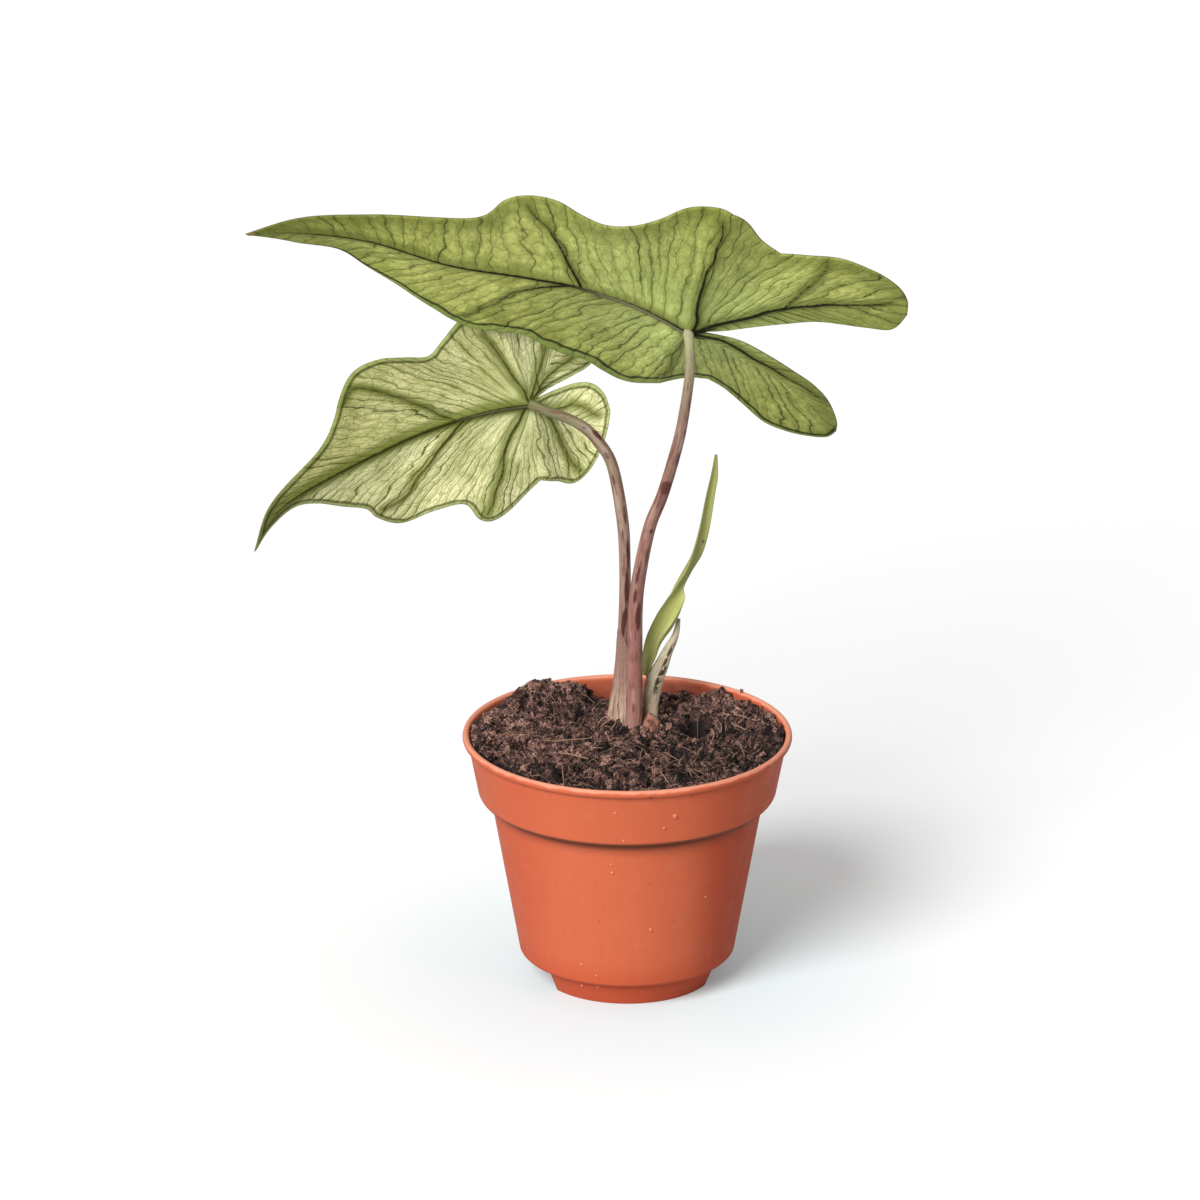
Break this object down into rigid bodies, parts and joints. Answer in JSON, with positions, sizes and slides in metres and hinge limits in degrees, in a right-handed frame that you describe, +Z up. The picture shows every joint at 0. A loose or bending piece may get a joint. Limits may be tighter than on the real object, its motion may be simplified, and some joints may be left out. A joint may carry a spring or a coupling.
{
  "type": "potted variegated alocasia tandurusa",
  "caption": "Young potted alocasia: arrow-shaped, wavy-edged leaves on tall mottled petioles, with an unrolling new leaf, in a collared nursery pot filled with soil.",
  "frame": {"origin": "centre of the bounding box's bottom face, on the surface that the pot stands on", "axes": "+Z up, the front of the plant towards -Y, the leaves' tips towards -X"},
  "size_m": [0.1178, 0.0694, 0.1508],
  "materials": {
    "pot_plastic": "terracotta-coloured moulded plastic, satin",
    "potting_soil": "crumbly peat potting soil with fibres",
    "corm_skin": "reddish-brown fibrous skin",
    "petiole_skin": "mauve-brown skin with dark red blotches",
    "pale_sheath": "tan papery sheath",
    "large_blade": "yellow-green leaf underside, dark veins",
    "small_blade": "cream-green leaf underside, fine green net of veins",
    "young_blade": "bright yellow-green young leaf"
  },
  "bodies": {
    "root": {"pot": "pot_plastic", "soil": "potting_soil", "corm": "corm_skin", "corm_bud": "corm_skin", "large_leaf_petiole": "petiole_skin", "small_leaf_petiole": "petiole_skin", "new_leaf_petiole": "pale_sheath", "basal_sheath": "pale_sheath", "large_leaf_blade": "large_blade", "small_leaf_blade": "small_blade", "new_leaf_blade": "young_blade"}
  },
  "joints": []
}
